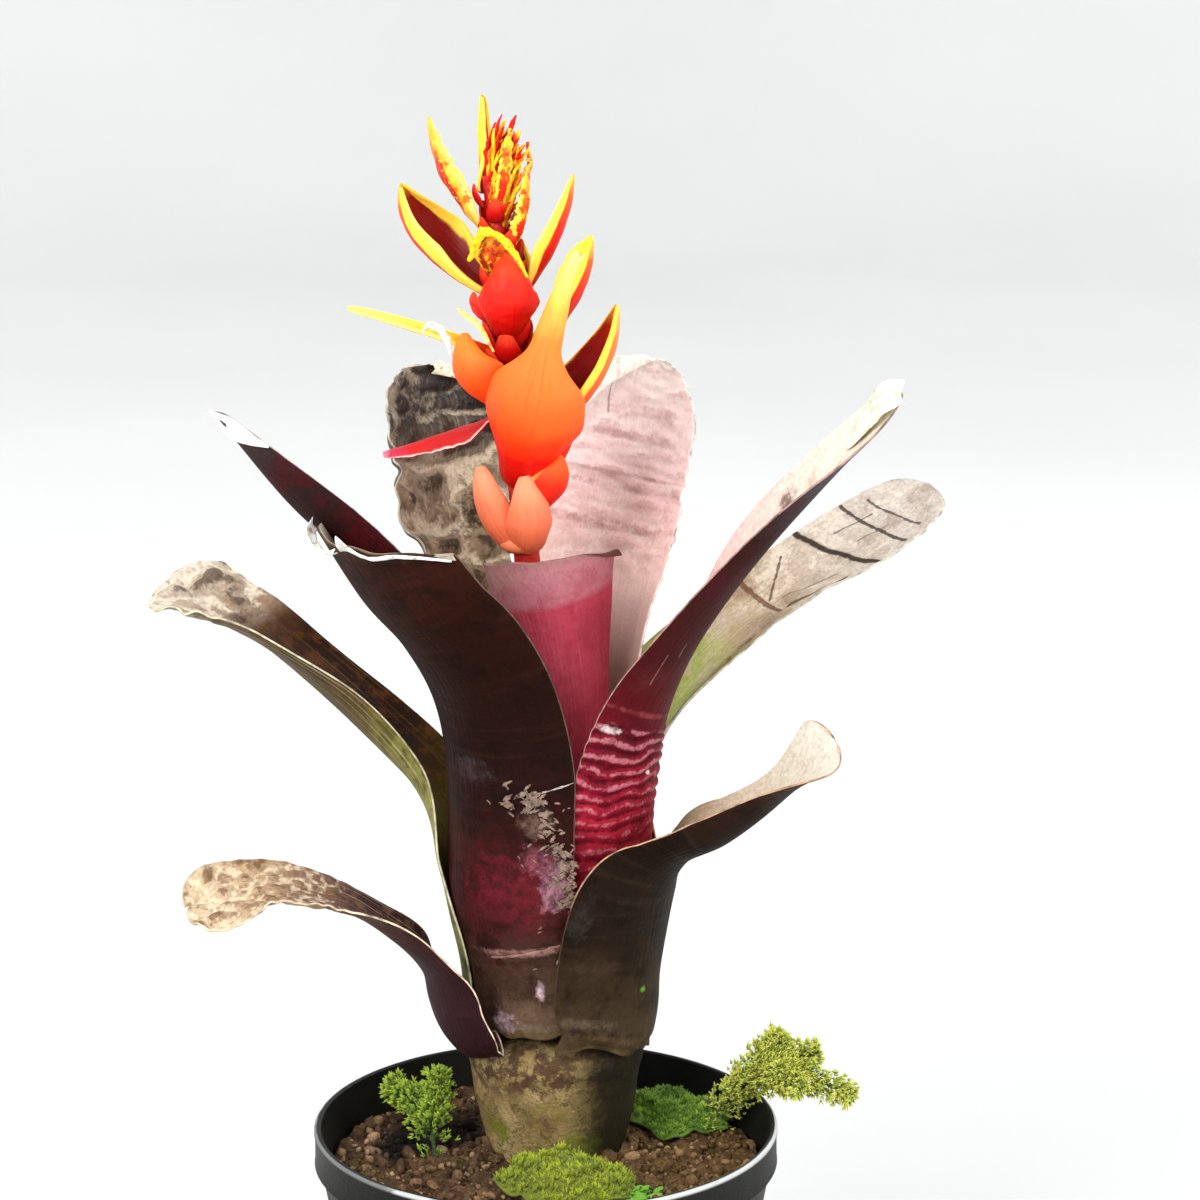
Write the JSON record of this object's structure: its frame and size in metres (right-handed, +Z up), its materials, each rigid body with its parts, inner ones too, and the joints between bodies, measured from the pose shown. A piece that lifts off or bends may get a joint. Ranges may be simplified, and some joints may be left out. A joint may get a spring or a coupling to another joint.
{
  "type": "potted bromeliad",
  "caption": "Flowering bromeliad in a round plastic nursery pot: strap leaves wrapped into an upright tube round a spike of orange and yellow bracts, with soil and moss.",
  "frame": {"origin": "centre of the pot's flat bottom", "axes": "+Z up along the pot's axis, +X to the viewer's right in the picture, -Y towards the viewer"},
  "size_m": [0.2656, 0.191, 0.4601],
  "materials": {
    "pot": "satin, dark green-black, with a lighter worn rim",
    "soil": "matt, moist, crumbly",
    "stump": "matt, woody, olive-tan",
    "leaf_dark": "satin, burgundy-brown with a grey bloom",
    "leaf_magenta": "satin, magenta",
    "leaf_pale": "matt, pale pink, faintly banded",
    "leaf_green": "satin, green below and beige-grey above",
    "leaf_grey": "matt, dry and crumpled",
    "scape": "satin, red",
    "bract_orange": "satin, orange to red",
    "bract_yellow": "satin, yellow edges over red",
    "bract_red": "satin, red",
    "moss": "matt, soft, bright green",
    "clubmoss": "matt, yellow-green"
  },
  "bodies": {
    "root": {"pot": "pot", "soil": "soil", "stump": "stump", "leaf_grey_back": "leaf_grey", "leaf_magenta_front": "leaf_magenta", "leaf_pink_upright": "leaf_pale", "leaf_upper_left": "leaf_dark", "leaf_green_right": "leaf_green", "leaf_right_up": "leaf_dark", "leaf_back_high": "leaf_dark", "leaf_torn_front": "leaf_dark", "leaf_left_mid": "leaf_dark", "leaf_back_low": "leaf_dark", "leaf_lower_right": "leaf_dark", "leaf_lower_left": "leaf_dark", "scape": "scape", "bract_salmon_left": "bract_orange", "bract_salmon_right": "bract_orange", "bract_egg": "bract_orange", "bract_back_low": "bract_orange", "bract_right_low": "bract_orange", "bract_red_left": "bract_red", "bract_knob_left": "bract_orange", "bract_needle_left": "bract_yellow", "bract_right_mid": "bract_yellow", "bract_dark_left": "bract_red", "bract_ball_front": "bract_red", "bract_back_high": "bract_red", "bract_right_narrow": "bract_yellow", "bract_boat_left": "bract_yellow", "bract_yellow_front": "bract_yellow", "bract_tuft_low": "bract_yellow", "bract_top_left": "bract_yellow", "bract_tuft_mid": "bract_yellow", "bract_tuft_front": "bract_yellow", "bract_top": "bract_yellow", "moss_front": "moss", "moss_back_right": "moss", "clubmoss_right": "clubmoss", "clubmoss_left": "clubmoss"}
  },
  "joints": []
}
